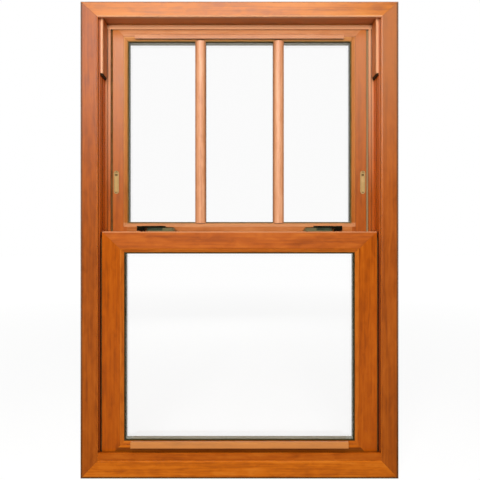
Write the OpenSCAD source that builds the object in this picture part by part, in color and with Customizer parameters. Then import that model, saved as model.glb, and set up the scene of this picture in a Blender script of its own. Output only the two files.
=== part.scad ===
// Double-hung sash window in its frame, seen from the room side.
// X runs across the window, Y from the room to the outside, Z up from the underside of the sill.

/* [Frame] */
// Overall width of the frame
frame_w = 609.6; // [520:0.1:900]
// Overall height of the frame
frame_h = 914.4; // [880:0.1:1200]
// Face width of the jamb's room-side lip
jamb_lip_w = 33.5; // [28:0.5:45]
// Face height of the head's room-side lip
head_lip_w = 30; // [26:0.1:40]
// Face height of the sill's room-side lip
sill_lip_h = 35.5; // [28:0.5:45]
// Thickness of the room-side lips
lip_t = 8; // [6:0.5:9]
// How far the track wall stands inward of the lip's edge
lip_reveal = 2.3; // [1:0.1:4]
// How far the head's lip hangs below the lower track's ceiling
head_lip_drop = 4; // [2:0.5:8]
// Inward step of the jamb from the lower track to the upper track
step_w = 11.5; // [8:0.1:16]
// Inward reach of the outside stop past the upper track's wall
stop_reach = 6.6; // [5.6:0.1:10]
// Depth of the outside stop
stop_t = 7; // [5:0.5:12]
// Height of the sill's floor just behind the lip
sill_floor_z = 18; // [14:0.5:24]
// Fall of the sill's floor towards the outside
floor_fall = 6; // [2:0.5:9]
// Height of the dam strip on the sill's lip
dam_h = 14; // [10:0.5:16]
// Length of the track covers, whose pads stop the lower sash when it is raised
cover_len = 107.4; // [60:0.1:160]

/* [Sashes] */
// Thickness of both sashes
sash_t = 30; // [28:0.5:36]
// How far the lower sash lies behind the frame's face
sash_setback = 11; // [10:0.5:16]
// Gap between the two sashes
sash_gap = 4; // [4:0.1:6]
// Gap between the lower sash's side and its track wall
lower_side_gap = 2.5; // [2:0.1:4]
// Gap between the upper sash's side and its track wall
upper_side_gap = 3.2; // [3:0.1:5.5]
// Height of the lower sash's top edge above the middle of the frame
meeting_rise = 16.8; // [0:0.1:30]
// Overlap of the two meeting rails
meeting_overlap = 24; // [20:0.5:30]
// Face width of the lower stiles, with their beads
lower_stile_w = 42.4; // [40:0.1:60]
// Face height of the lower sash's top rail, with its bead
lower_top_w = 40.4; // [36:0.1:55]
// Face height of the lower sash's bottom rail, with its bead
lower_bottom_w = 46; // [44:0.1:60]
// Face width of the upper stiles, with their beads
upper_stile_w = 29; // [28:0.1:45]
// Face height of the upper sash's top rail, with its bead
upper_top_w = 33.5; // [32:0.1:45]
// Face height of the upper sash's bottom rail, with its bead
upper_bottom_w = 41; // [41:0.1:55]
// Length of the lift rail and of the pull rail
lift_len = 418; // [200:1:440]
// How far the lift rail stands out from the lower sash
lift_out = 9; // [6:0.5:9.5]

/* [Glazing] */
// Thickness of one pane
pane_t = 3; // [2:0.5:4]
// Thickness of the sealed double-glazed unit
unit_t = 19; // [16:0.5:20]
// Face width of the glazing beads
bead_w = 7.1; // [6:0.1:10]
// Number of upright glazing bars in the upper sash
bar_count = 2; // [1:1:4]
// Width of a glazing bar
bar_w = 21; // [14:0.5:26]
// Thickness of a glazing bar
bar_t = 5.5; // [5:0.1:5.8]

/* [Locks and latches] */
// Distance of each lock's pivot from the side of the lower sash
lock_side = 112.5; // [96:0.5:160]
// Length of the lock's lever from its pivot
lever_len = 49; // [44:0.5:52]
// Radius of the lock's cam
cam_r = 18; // [17:0.1:18]
// Swing of the lock's lever from open to locked
lock_swing = 170; // [120:1:175]
// Height of the vent latch's housing
vent_h = 46; // [40:0.5:60]
// Width of the vent latch's housing
vent_w = 10; // [9.5:0.1:12.5]
// Height of the vent latches above the lower sash's top edge
vent_rise = 76; // [40:1:140]
// Length of a tilt latch's bar
tilt_len = 46; // [36:0.5:60]
// Travel of a tilt latch
tilt_travel = 10; // [8:0.5:14]

/* [Balances] */
// Outer diameter of a balance tube
tube_d = 11; // [10:0.1:12]
// Width of the spiral rod's strip
rod_w = 5; // [4:0.1:6]
// Length of the spiral rod for one full turn
rod_pitch = 66; // [50:1:120]
// Radius of the fixing holes through the jambs
fixing_r = 2.5; // [1.5:0.1:3]

/* [Hidden] */
$fn = 48;
cut_over = 1;
mitre_over_share = 0.2;
wood = "#BE7234";
wood_dark = "#9A5522";
bronze = "#3A352A";
tan = "#C39B5F";
steel = "#9A9C9E";
seal_grey = "#7A736A";

// Depths, measured from the frame's room face
step_clear = 1;
stop_clear = 1;
step_u = sash_setback + sash_t + step_clear;
upper_u = sash_setback + sash_t + sash_gap;
stop_u = upper_u + sash_t + stop_clear;
frame_d = stop_u + stop_t;
front_y = -frame_d / 2;
lower_y = front_y + sash_setback;
upper_y = front_y + upper_u;
mid_u = sash_t / 2;
lower_mid_u = sash_setback + mid_u;
upper_mid_u = upper_u + mid_u;

// Widths of the jamb, measured inward from its outer edge
half_w = frame_w / 2;
jamb_wall_w = jamb_lip_w + lip_reveal;
upper_wall_w = jamb_wall_w + step_w;
jamb_stop_w = upper_wall_w + stop_reach;
lower_hw = half_w - jamb_wall_w - lower_side_gap;
upper_hw = half_w - upper_wall_w - upper_side_gap;

// Bevels of the lips, as a width across the face and a depth into it
outer_bevel_w = 3.5;
outer_bevel_u = 3.5;
inner_bevel_w = 2.5;
inner_bevel_u = 1;
groove_w = 1.4;
groove_d = 1.6;
groove_place_share = 0.45;

// Head, measured down from its top edge
upper_rise = 6;
fin_drop = 10.3;
fin_t = 2;
head_stop_drop = 11;
head_ceiling_w = head_lip_w - head_lip_drop;
head_upper_w = head_ceiling_w - upper_rise;
fin_w = head_ceiling_w + fin_drop;
head_stop_w = head_upper_w + head_stop_drop;

// Heights of the two sashes
sill_clear = 3.5;
head_clear = 3;
lower_z0 = sill_floor_z + sill_clear;
lower_z1 = frame_h / 2 + meeting_rise;
upper_z0 = lower_z1 - meeting_overlap;
upper_z1 = frame_h - head_upper_w - head_clear;

// A box is [half width, bottom, top], and widths are [stile, top, bottom]
frame_box = [half_w, 0, frame_h];
lip_widths = [jamb_lip_w, head_lip_w, sill_lip_h];
lower_box = [lower_hw, lower_z0, lower_z1];
lower_widths = [lower_stile_w, lower_top_w, lower_bottom_w];
upper_box = [upper_hw, upper_z0, upper_z1];
upper_widths = [upper_stile_w, upper_top_w, upper_bottom_w];
bead_widths = [bead_w, bead_w, bead_w];

// Glazing, measured from the sash's room face
glass_u0 = 6;
glass_u1 = glass_u0 + unit_t;
glass_clear = 1.5;
bead_set = 0.8;
bead_flat = 1.5;
bead_edge_u = 4.6;
mitre_joint = 0.1;
edge_bevel = 1;
leg_bevel = 2;
spacer_edge = 2;
spacer_sight = 2.7;
block_len = 60;
block_place_share = 0.5;
bar_round = 4;

// Lift rail and pull rail
lift_h = 13.2;
lift_top_rise = 2.2;
lift_nose = 2;
lift_lip_t = 5.5;
lift_throat = 1.6;
lift_root = 1;
pull_h = 11;
pull_drop = 1.8;
pull_clear = 1;
pull_throat = 0.6;
pull_out = sash_gap - pull_clear;

// Dam strip and seals
dam_set = 1.5;
dam_bevel = 2;
pile_clear = 0.4;
pile_w = 5;
pile_set = 4;
pile_end = 12;
seal_clear = 0.3;
seal_w = 6;
meeting_seal_h = 6;
meeting_seal_set = 8;

// Track covers and stop pads
cover_out = 5;
cover_wall = 2;
cover_clear = 1;
cover_bevel = 1.2;
pad_h = 4;
pad_gap = 2;
pad_inset = 1;
cover_u = sash_t - step_clear;
cover_z1 = frame_h - head_ceiling_w - cover_clear;
cover_z0 = cover_z1 - cover_len;
sash_travel = cover_z0 - pad_h - pad_gap - lower_z1;

// Balance pockets in the jambs
pocket_w = 16;
pocket_u = 14;
slot_u = 6;
slot_wall = 2.5;
lower_pocket_w = jamb_wall_w - slot_wall - pocket_w / 2;
upper_pocket_w = upper_wall_w - slot_wall - pocket_w / 2;

// Balances
tube_wall = 1.2;
cap_h = 12;
rod_t = 1.5;
rod_engage = 20;
balance_gap = 8;
shoe_clear = 0.6;
shoe_h = 30;
shoe_lift = 4;
pivot_t = 4.4;
pivot_h = 10;
pivot_clear = 0.3;
pivot_lift = 10;
pivot_grip = 40;
pivot_reach = 7;
slices_per_turn = 16;
lower_shoe_top = lower_z0 + shoe_lift + shoe_h;
upper_shoe_top = upper_z0 + shoe_lift + shoe_h;
lower_tube_z0 = lower_shoe_top + sash_travel + balance_gap;
lower_rod_top = lower_tube_z0 + rod_engage;
lower_tube_z1 = lower_rod_top + sash_travel + balance_gap + cap_h;
upper_tube_z1 = frame_h - head_upper_w - balance_gap;
upper_rod_top = upper_tube_z1 - cap_h - balance_gap;
upper_tube_z0 = upper_rod_top - sash_travel - rod_engage;
screw_r = 1.6;
screw_clear = 0.15;
screw_head_r = 2.7;
screw_head_t = 2;
screw_bite = 8;

// Fixing holes through the jambs
fixing_back = 5;
fixing_low = 80;
fixing_high = 50;
fixing_u = step_u - fixing_back;
fixing_z = [lower_z0 + fixing_low, cover_z0 + fixing_high];

// Locks, measured from the pivot on the lower sash's top edge
lock_x = lower_hw - lock_side;
lock_back = 8.5;
lock_y = lower_y + sash_t - lock_back;
case_half = 28;
case_round = 8;
case_front = 20;
case_rear = lock_back;
case_h = 7;
case_step = 2;
case_low_share = 0.6;
cam_lift = 1;
cam_t = 3.2;
cam_clear = 0.5;
cam_hub_r = 7;
cam_half_angle = 35;
spindle_r = 3.5;
spindle_fit = 0.05;
spindle_run = 0.3;
lever_gap = 0.3;
lever_t = 3.7;
lever_hub_r = 8.5;
lever_tip_r = 4;
grip_start = 33.5;
grip_clear = 2;
lock_screw_x = 24;
lock_screw_y = -6;
lock_screw_r = 1.5;
lock_screw_head_r = 3;
lock_screw_head_t = 1.8;
lock_screw_len = 18;
lever_z0 = case_h + lever_gap;

// Keepers in the upper sash's bottom rail
keeper_w = 44;
keeper_h = 12;
keeper_t = 1.5;
keeper_slot_w = 40;
keeper_slot_h = 6;
keeper_depth = 9;
keeper_fit = 0.2;
keeper_z = lower_z1 + cam_lift + cam_t / 2;

// Vent latches in the upper sash's stiles
vent_in = 7.5;
vent_x = upper_hw - vent_in;
vent_z = lower_z1 + vent_rise + vent_h / 2;
vent_depth = 12;
vent_wall = 1.5;
vent_fit = 0.2;
vent_run = 0.35;
vent_pin_r = 1.5;
vent_pin_fit = 0.1;
vent_pin_drop = 8.2;
vent_pin_u = 4;
vent_pin_end = 0.3;
tongue_set = 0.3;
tongue_deep = 8;
tongue_bevel = 2.2;
tongue_end_gap = 0.7;
dot_r = 1.7;
dot_d = 2;

// Tilt latches in the tops of both sashes
tilt_w = 8;
tilt_h = 6;
tilt_d = 8;
tilt_clear = 0.3;
tilt_nose_w = 4.8;
tilt_nose_in = 1.7;
thumb_len = 12;
thumb_w = 6;
thumb_ribs = 4;
thumb_place_share = 0.65;
thumb_set = 0.3;

// Inner edge of the daylight opening of a sash, as a box
function daylight(box, widths) = [box[0] - widths[0], box[1] + widths[2], box[2] - widths[1]];

// A box made larger all round
function grown(box, by) = [box[0] + by, box[1] - by, box[2] + by];

// Mirrors its children to the right-hand side of the window
module on_side(side) {
  if (side == "left") children();
  if (side == "right") mirror([1, 0, 0]) children();
}

// Its children on both sides of the window
module both_sides() {
  for (side = ["left", "right"]) on_side(side) children();
}

// Runs a section along one side of a box. The section's first axis points inward, its second outdoors.
module bar(side, box, y, extra = 0) {
  tall = box[2] - box[1] + 2 * extra;
  wide = 2 * (box[0] + extra);
  if (side == "left" || side == "right")
    on_side(side) translate([-box[0], y, box[1] - extra]) linear_extrude(tall) children();
  if (side == "top")
    translate([-box[0] - extra, y, box[2]])
      rotate([90, 0, 90]) linear_extrude(wide) rotate(-90) children();
  if (side == "bottom")
    translate([-box[0] - extra, y, box[1]])
      rotate([90, 0, 90]) linear_extrude(wide) mirror([1, -1]) children();
}

// The space that one member of a mitred frame may fill, from the box's corners inward
module mitre_space(side, box, widths) {
  out = -mitre_over_share;
  in = 1 + mitre_over_share;
  left_out = -box[0] + widths[0] * out;
  left_in = -box[0] + widths[0] * in;
  top_out = box[2] - widths[1] * out;
  top_in = box[2] - widths[1] * in;
  low_out = box[1] + widths[2] * out;
  low_in = box[1] + widths[2] * in;
  outline =
    side == "top" ? [[left_out, top_out], [-left_out, top_out], [-left_in, top_in], [left_in, top_in]] :
    side == "bottom" ? [[left_out, low_out], [-left_out, low_out], [-left_in, low_in], [left_in, low_in]] :
    [[left_out, low_out], [left_out, top_out], [left_in, top_in], [left_in, low_in]];
  on_side(side == "right" ? "right" : "left")
    translate([0, frame_d, 0]) rotate([90, 0, 0]) linear_extrude(2 * frame_d) polygon(outline);
}

// One member of a frame with mitred corners
module mitred_bar(side, box, widths, y) {
  intersection() {
    bar(side, box, y, cut_over) children();
    mitre_space(side, box, widths);
  }
}

// A rectangle with round corners
module round_rect(w, h, r) {
  translate([-w / 2 + r, -h / 2]) square([w - 2 * r, h]);
  translate([-w / 2, -h / 2 + r]) square([w, h - 2 * r]);
  for (x = [-1, 1], y = [-1, 1]) translate([x * (w / 2 - r), y * (h / 2 - r)]) circle(r);
}

// A plate across the window that fills a box between two depths
module plate(box, y, t) {
  translate([-box[0], y, box[1]]) cube([2 * box[0], t, box[2] - box[1]]);
}

// A round hole or rod along X, from the outer edge of the left jamb inward
module rod_along_x(from_w, to_w, u, z, r) {
  translate([-half_w + from_w, front_y + u, z]) rotate([0, 90, 0]) cylinder(h = to_w - from_w, r = r);
}

// Room-side lip of a frame member, with its two bevelled edges
module lip_section(w) {
  polygon([
    [0, outer_bevel_u], [outer_bevel_w, 0], [w - inner_bevel_w, 0], [w, inner_bevel_u], [w, lip_t], [0, lip_t]]);
}

// Balance pocket behind a track wall, with the slot that opens it to the track
module pocket_section(wall_w, u) {
  translate([wall_w - slot_wall - pocket_w, u - pocket_u / 2]) square([pocket_w, pocket_u]);
  translate([wall_w - slot_wall - cut_over, u - slot_u / 2]) square([slot_wall + 2 * cut_over, slot_u]);
}

// Jamb behind its lip: two tracks side by side and the outside stop
module jamb_rear_section() {
  difference() {
    polygon([
      [0, lip_t], [jamb_wall_w, lip_t], [jamb_wall_w, step_u], [upper_wall_w, step_u],
      [upper_wall_w, stop_u], [jamb_stop_w, stop_u], [jamb_stop_w, frame_d], [0, frame_d]]);
    pocket_section(jamb_wall_w, lower_mid_u);
    pocket_section(upper_wall_w, upper_mid_u);
    translate([jamb_wall_w + step_w * groove_place_share, step_u - cut_over])
      square([groove_w, groove_d + cut_over]);
  }
}

// Head behind its lip: two track ceilings, the fin between them and the outside stop
module head_rear_section(extra = 0) {
  polygon([
    [-extra, lip_t], [head_ceiling_w, lip_t], [head_ceiling_w, step_u], [fin_w, step_u],
    [fin_w, step_u + fin_t], [head_upper_w, step_u + fin_t], [head_upper_w, stop_u],
    [head_stop_w, stop_u], [head_stop_w, frame_d + extra], [-extra, frame_d + extra]]);
}

// Sill behind its lip: a floor that falls to the outside
module sill_rear_section(extra = 0) {
  polygon([
    [-extra, lip_t], [sill_floor_z, lip_t], [sill_floor_z - floor_fall, frame_d],
    [sill_floor_z - floor_fall, frame_d + extra], [-extra, frame_d + extra]]);
}

module frame_head() {
  color(wood) {
    mitred_bar("top", frame_box, lip_widths, front_y) lip_section(head_lip_w);
    bar("top", frame_box, front_y) head_rear_section();
  }
}

module frame_sill() {
  color(wood) {
    mitred_bar("bottom", frame_box, lip_widths, front_y) lip_section(sill_lip_h);
    bar("bottom", frame_box, front_y) sill_rear_section();
  }
}

// Pilot hole for the screw that hangs a balance tube in its pocket
module screw_pilot(pocket_mid, u, tube_top) {
  rod_along_x(pocket_mid - pocket_w / 2 - screw_bite, pocket_mid, u, tube_top - cap_h / 2, screw_r + screw_clear);
}

module jamb(side) {
  color(wood) on_side(side) difference() {
    union() {
      mitred_bar("left", frame_box, lip_widths, front_y) lip_section(jamb_lip_w);
      difference() {
        bar("left", frame_box, front_y) jamb_rear_section();
        bar("top", frame_box, front_y, cut_over) head_rear_section(cut_over);
        bar("bottom", frame_box, front_y, cut_over) sill_rear_section(cut_over);
      }
    }
    for (z = fixing_z) rod_along_x(-cut_over, jamb_wall_w + cut_over, fixing_u, z, fixing_r);
    screw_pilot(lower_pocket_w, lower_mid_u, lower_tube_z1);
    screw_pilot(upper_pocket_w, upper_mid_u, upper_tube_z1);
  }
}

module frame_jamb_left() { jamb("left"); }
module frame_jamb_right() { jamb("right"); }

// Strip on the sill's lip that hides the foot of the lower sash
module sill_dam() {
  dam_top = sill_lip_h + dam_h;
  color(wood) bar("bottom", [half_w - jamb_lip_w, 0, frame_h], front_y)
    polygon([
      [sill_lip_h, dam_set], [dam_top - dam_bevel, dam_set], [dam_top, dam_set + dam_bevel],
      [dam_top, lip_t], [sill_lip_h, lip_t]]);
}

// Channel that closes the top of the lower track, with its hollow towards the wall
module track_cover(side) {
  color(wood_dark) on_side(side)
    translate([-half_w + jamb_wall_w, lower_y, cover_z0]) linear_extrude(cover_z1 - cover_z0)
      difference() {
        polygon([
          [0, 0], [cover_out - cover_bevel, 0], [cover_out, cover_bevel],
          [cover_out, cover_u], [0, cover_u]]);
        translate([-cut_over, cover_wall])
          square([cover_out - cover_wall + cut_over, cover_u - 2 * cover_wall]);
      }
}

module track_cover_left() { track_cover("left"); }
module track_cover_right() { track_cover("right"); }

// Soft pads under the covers, which the lower sash meets when it is fully open
module stop_pads() {
  color(bronze) both_sides()
    translate([-half_w + jamb_wall_w, lower_y + pad_inset, cover_z0 - pad_h])
      cube([cover_out - pad_inset, cover_u - 2 * pad_inset, pad_h]);
}

// Pile strips on the upper track's walls, which seal the sides of the upper sash
module upper_side_piles() {
  pile_top = frame_h - fin_w - pile_clear;
  pile_low = sill_floor_z + pile_end;
  color(seal_grey) both_sides()
    translate([-half_w + upper_wall_w, upper_y + pile_set - pile_w / 2, pile_low])
      cube([upper_side_gap - pile_clear, pile_w, pile_top - pile_low]);
}

// Tube of a spiral balance, open below and closed above by a cap with a cross hole
module balance_tube(side, pocket_mid, u, z0, z1) {
  color(steel) on_side(side) difference() {
    translate([-half_w + pocket_mid, front_y + u, z0]) cylinder(h = z1 - z0, d = tube_d);
    translate([-half_w + pocket_mid, front_y + u, z0 - cut_over])
      cylinder(h = z1 - z0 - cap_h + cut_over, d = tube_d - 2 * tube_wall);
    rod_along_x(pocket_mid - tube_d, pocket_mid + tube_d, u, z1 - cap_h / 2, screw_r + screw_clear);
  }
}

module lower_balance_tube_left() {
  balance_tube("left", lower_pocket_w, lower_mid_u, lower_tube_z0, lower_tube_z1);
}
module lower_balance_tube_right() {
  balance_tube("right", lower_pocket_w, lower_mid_u, lower_tube_z0, lower_tube_z1);
}
module upper_balance_tube_left() {
  balance_tube("left", upper_pocket_w, upper_mid_u, upper_tube_z0, upper_tube_z1);
}
module upper_balance_tube_right() {
  balance_tube("right", upper_pocket_w, upper_mid_u, upper_tube_z0, upper_tube_z1);
}

// Screw through a tube's cap into the back of its pocket
module balance_screw(pocket_mid, u, tube_top) {
  z = tube_top - cap_h / 2;
  head_w = pocket_mid + tube_d / 2;
  rod_along_x(pocket_mid - pocket_w / 2 - screw_bite + screw_clear, head_w, u, z, screw_r);
  rod_along_x(head_w, head_w + screw_head_t, u, z, screw_head_r);
}

module balance_screws() {
  color(steel) both_sides() {
    balance_screw(lower_pocket_w, lower_mid_u, lower_tube_z1);
    balance_screw(upper_pocket_w, upper_mid_u, upper_tube_z1);
  }
}

// Sash member: a solid body, and at the back the leg that the glass bears on
module sash_section(w) {
  polygon([
    [0, edge_bevel], [edge_bevel, 0], [w - bead_w, 0], [w - bead_w, glass_u1], [w, glass_u1],
    [w, sash_t - leg_bevel], [w - leg_bevel, sash_t], [edge_bevel, sash_t], [0, sash_t - edge_bevel]]);
}

// Groove for a tilt latch in the top corner of a sash
module tilt_groove(box, y) {
  groove = tilt_len + tilt_travel + tilt_clear;
  translate([-box[0] - cut_over, y + mid_u - tilt_w / 2 - tilt_clear, box[2] - tilt_d])
    cube([groove + cut_over, tilt_w + 2 * tilt_clear, tilt_d + cut_over]);
}

// Mortise for a pivot bar in the bottom corner of a sash
module pivot_mortise(box, y) {
  translate([-box[0] - cut_over, y + mid_u - pivot_t / 2 - pivot_clear, box[1] + pivot_lift - pivot_clear])
    cube([pivot_grip + pivot_clear + cut_over, pivot_t + 2 * pivot_clear, pivot_h + 2 * pivot_clear]);
}

// Screw holes of one lock, in the lower sash's top rail
module lock_screw_holes() {
  for (x = [-lock_screw_x, lock_screw_x])
    translate([-lock_x + x, lock_y + lock_screw_y, lower_z1 - lock_screw_len])
      cylinder(h = lock_screw_len + case_h, r = lock_screw_r + screw_clear);
}

module lower_top_rail() {
  color(wood) difference() {
    mitred_bar("top", lower_box, lower_widths, lower_y) sash_section(lower_top_w);
    both_sides() {
      tilt_groove(lower_box, lower_y);
      lock_screw_holes();
    }
  }
}

// Section of the lift rail: a ledge with an upturned lip for the fingers
module lift_section() {
  w1 = lower_bottom_w + lift_top_rise;
  w0 = w1 - lift_h;
  root_w = lower_bottom_w - bead_w - lift_root;
  polygon([
    [w0, lift_root], [w0, lift_nose - lift_out], [w0 + lift_nose, -lift_out], [w1 - lift_nose, -lift_out],
    [w1, lift_nose - lift_out], [w1, lift_lip_t - lift_out], [root_w, -lift_throat], [root_w, lift_root]]);
}

module lower_bottom_rail() {
  color(wood) difference() {
    union() {
      mitred_bar("bottom", lower_box, lower_widths, lower_y) sash_section(lower_bottom_w);
      bar("bottom", [lift_len / 2, lower_z0, lower_z1], lower_y) lift_section();
    }
    both_sides() pivot_mortise(lower_box, lower_y);
  }
}

module lower_stile(side) {
  color(wood) on_side(side) difference() {
    mitred_bar("left", lower_box, lower_widths, lower_y) sash_section(lower_stile_w);
    tilt_groove(lower_box, lower_y);
    pivot_mortise(lower_box, lower_y);
  }
}

module lower_stile_left() { lower_stile("left"); }
module lower_stile_right() { lower_stile("right"); }

// Glazing bead: a small sloped bar between the sash's body and the glass
module bead_section() {
  polygon([[0, bead_set], [bead_flat, bead_set], [bead_w, bead_edge_u], [bead_w, glass_u0], [0, glass_u0]]);
}

// Four beads round a pane, cut with a hairline joint at each mitre
module beads(box, widths, y) {
  rebate = grown(daylight(box, widths), bead_w);
  short = [rebate[0] - mitre_joint, rebate[1], rebate[2]];
  color(wood_dark) {
    for (side = ["left", "right"]) mitred_bar(side, rebate, bead_widths, y) bead_section();
    for (side = ["top", "bottom"]) mitred_bar(side, short, bead_widths, y) bead_section();
  }
}

module lower_beads() { beads(lower_box, lower_widths, lower_y); }

module pane(box, widths, y) {
  color("#CFE4DA", 0.4) plate(grown(daylight(box, widths), bead_w - glass_clear), y, pane_t);
}

module lower_inner_pane() { pane(lower_box, lower_widths, lower_y + glass_u0); }
module lower_outer_pane() { pane(lower_box, lower_widths, lower_y + glass_u1 - pane_t); }

// Bent bar that holds the two panes apart
module spacer(box, widths, y) {
  light = daylight(box, widths);
  outside = grown(light, bead_w - glass_clear - spacer_edge);
  color(steel) difference() {
    plate(outside, y + glass_u0 + pane_t, unit_t - 2 * pane_t);
    plate(grown(light, -spacer_sight), y, sash_t);
  }
}

module lower_spacer() { spacer(lower_box, lower_widths, lower_y); }

// Blocks that carry the double-glazed unit on the bottom rail
module setting_blocks(box, widths, y) {
  rebate = grown(daylight(box, widths), bead_w);
  color(seal_grey) both_sides()
    translate([-rebate[0] * block_place_share - block_len / 2, y + glass_u0, rebate[1]])
      cube([block_len, unit_t, glass_clear]);
}

module lower_setting_blocks() { setting_blocks(lower_box, lower_widths, lower_y); }

module lower_side_piles() {
  pile_t = lower_side_gap - pile_clear;
  color(seal_grey) both_sides()
    translate([-lower_hw - pile_t, lower_y + pile_set, lower_z0 + pile_end])
      cube([pile_t, pile_w, lower_z1 - lower_z0 - 2 * pile_end]);
}

module sill_seal() {
  seal_h = sill_clear - seal_clear;
  color(seal_grey) translate([-lower_hw + pile_end, lower_y + pile_set, lower_z0 - seal_h])
    cube([2 * (lower_hw - pile_end), seal_w, seal_h]);
}

// Flat bars that carry a sash on the balance shoes, through the slots in the track walls
module pivot_bars(box, y, side_gap) {
  reach = side_gap + slot_wall + pivot_reach;
  color(steel) both_sides()
    translate([-box[0] - reach, y + mid_u - pivot_t / 2, box[1] + pivot_lift])
      cube([pivot_grip + reach, pivot_t, pivot_h]);
}

module lower_pivot_bars() { pivot_bars(lower_box, lower_y, lower_side_gap); }

// Blocks that run in the jamb pockets, each with a slot for its pivot bar
module shoes(box, y, pocket_mid) {
  shoe_w = pocket_w - 2 * shoe_clear;
  shoe_u = pocket_u - 2 * shoe_clear;
  slot_end = -half_w + pocket_mid + pocket_w / 2 - pivot_reach - pivot_clear;
  color(seal_grey) both_sides() difference() {
    translate([-half_w + pocket_mid - shoe_w / 2, y + mid_u - shoe_u / 2, box[1] + shoe_lift])
      cube([shoe_w, shoe_u, shoe_h]);
    translate([slot_end, y + mid_u - pivot_t / 2, box[1] + pivot_lift])
      cube([pocket_w, pivot_t, pivot_h]);
  }
}

module lower_shoes() { shoes(lower_box, lower_y, lower_pocket_w); }

// Twisted strips that wind into the balance tubes
module spiral_rods(y, pocket_mid, z0, z1) {
  turns = (z1 - z0) / rod_pitch;
  color(steel) both_sides()
    translate([-half_w + pocket_mid, y + mid_u, z0])
      linear_extrude(z1 - z0, twist = 360 * turns, slices = ceil(turns * slices_per_turn), $fn = 4)
        square([rod_w, rod_t], center = true);
}

module lower_spiral_rods() { spiral_rods(lower_y, lower_pocket_w, lower_shoe_top, lower_rod_top); }

// Places its children at the pivot of a lock, on the lower sash's top edge
module at_lock(side) {
  on_side(side) translate([-lock_x, lock_y, lower_z1]) children();
}

// Outline of the lock's case, drawn smaller all round by the given inset
module case_outline(inset) {
  translate([0, (case_rear - case_front) / 2])
    round_rect(2 * (case_half - inset), case_front + case_rear - 2 * inset, case_round - inset);
}

module lock_case(side) {
  cavity_h = cam_lift + cam_t + cam_clear;
  low_h = case_h * case_low_share;
  color(bronze) at_lock(side) difference() {
    union() {
      linear_extrude(low_h) case_outline(0);
      linear_extrude(case_h) case_outline(case_step);
    }
    translate([0, 0, -cut_over]) cylinder(h = cavity_h + cut_over, r = cam_r + cam_clear);
    cylinder(h = case_h + cut_over, r = spindle_r + spindle_run);
    for (x = [-lock_screw_x, lock_screw_x]) translate([x, lock_screw_y, 0]) {
      translate([0, 0, -cut_over]) cylinder(h = case_h + 2 * cut_over, r = lock_screw_r + screw_clear);
      translate([0, 0, low_h]) cylinder(h = case_h, r = lock_screw_head_r + screw_clear);
    }
  }
}

module lock_case_left() { lock_case("left"); }
module lock_case_right() { lock_case("right"); }

module lock_screws() {
  seat = case_h * case_low_share;
  color(steel) for (side = ["left", "right"], x = [-lock_screw_x, lock_screw_x])
    at_lock(side) translate([x, lock_screw_y, 0]) {
      translate([0, 0, seat - lock_screw_len]) cylinder(h = lock_screw_len, r = lock_screw_r);
      translate([0, 0, seat]) cylinder(h = lock_screw_head_t, r = lock_screw_head_r);
    }
}

// Plan of the lever: a round hub and an arm that narrows to a round tip
module lever_plan() {
  circle(lever_hub_r);
  tip = lever_len - lever_tip_r;
  lean = asin((lever_hub_r - lever_tip_r) / tip);
  side_x = sin(lean);
  side_y = cos(lean);
  translate([-tip, 0]) circle(lever_tip_r);
  polygon([
    [-lever_hub_r * side_x, lever_hub_r * side_y], [-tip - lever_tip_r * side_x, lever_tip_r * side_y],
    [-tip - lever_tip_r * side_x, -lever_tip_r * side_y], [-lever_hub_r * side_x, -lever_hub_r * side_y]]);
}

// Lever with its spindle, and at its end a grip that reaches down past the case
module lock_lever(side) {
  color(bronze) at_lock(side) {
    translate([0, 0, lever_z0]) linear_extrude(lever_t) lever_plan();
    translate([0, 0, cam_lift]) cylinder(h = lever_z0 - cam_lift, r = spindle_r);
    translate([0, 0, grip_clear]) linear_extrude(lever_z0 - grip_clear) intersection() {
      lever_plan();
      translate([-lever_len, -lever_len / 2]) square([lever_len - grip_start, lever_len]);
    }
  }
}

module lock_lever_left() { lock_lever("left"); }
module lock_lever_right() { lock_lever("right"); }

// Cam below the lever: a hub with one lobe, which turns towards the outside when the lock closes
module lock_cam(side) {
  color(steel) at_lock(side) translate([0, 0, cam_lift])
    linear_extrude(cam_t) difference() {
      union() {
        circle(cam_hub_r);
        rotate(90 - lock_swing) intersection() {
          circle(cam_r);
          polygon([
            [0, 0], cam_r * 2 * [cos(cam_half_angle), sin(cam_half_angle)],
            cam_r * 2 * [cos(cam_half_angle), -sin(cam_half_angle)]]);
        }
      }
      circle(spindle_r + spindle_fit);
    }
}

module lock_cam_left() { lock_cam("left"); }
module lock_cam_right() { lock_cam("right"); }

// Spring bolt in the top corner of a sash, with a ribbed thumb piece
module tilt_latch(side, box, y, side_gap) {
  bar_z = box[2] - tilt_d + tilt_clear;
  thumb_h = tilt_d - tilt_h - tilt_clear - thumb_set;
  nose = side_gap + tilt_nose_in;
  rib_w = thumb_len / (2 * thumb_ribs - 1);
  color(seal_grey) on_side(side) translate([-box[0], y + mid_u, bar_z]) {
    translate([0, -tilt_w / 2, 0]) cube([tilt_len, tilt_w, tilt_h]);
    translate([-nose, -tilt_nose_w / 2, 0]) cube([nose, tilt_nose_w, tilt_h]);
    for (rib = [0 : thumb_ribs - 1])
      translate([tilt_len * thumb_place_share + 2 * rib * rib_w - thumb_len / 2, -thumb_w / 2, tilt_h])
        cube([rib_w, thumb_w, thumb_h]);
  }
}

module lower_tilt_latch_left() { tilt_latch("left", lower_box, lower_y, lower_side_gap); }
module lower_tilt_latch_right() { tilt_latch("right", lower_box, lower_y, lower_side_gap); }
module upper_tilt_latch_left() { tilt_latch("left", upper_box, upper_y, upper_side_gap); }
module upper_tilt_latch_right() { tilt_latch("right", upper_box, upper_y, upper_side_gap); }

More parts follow.
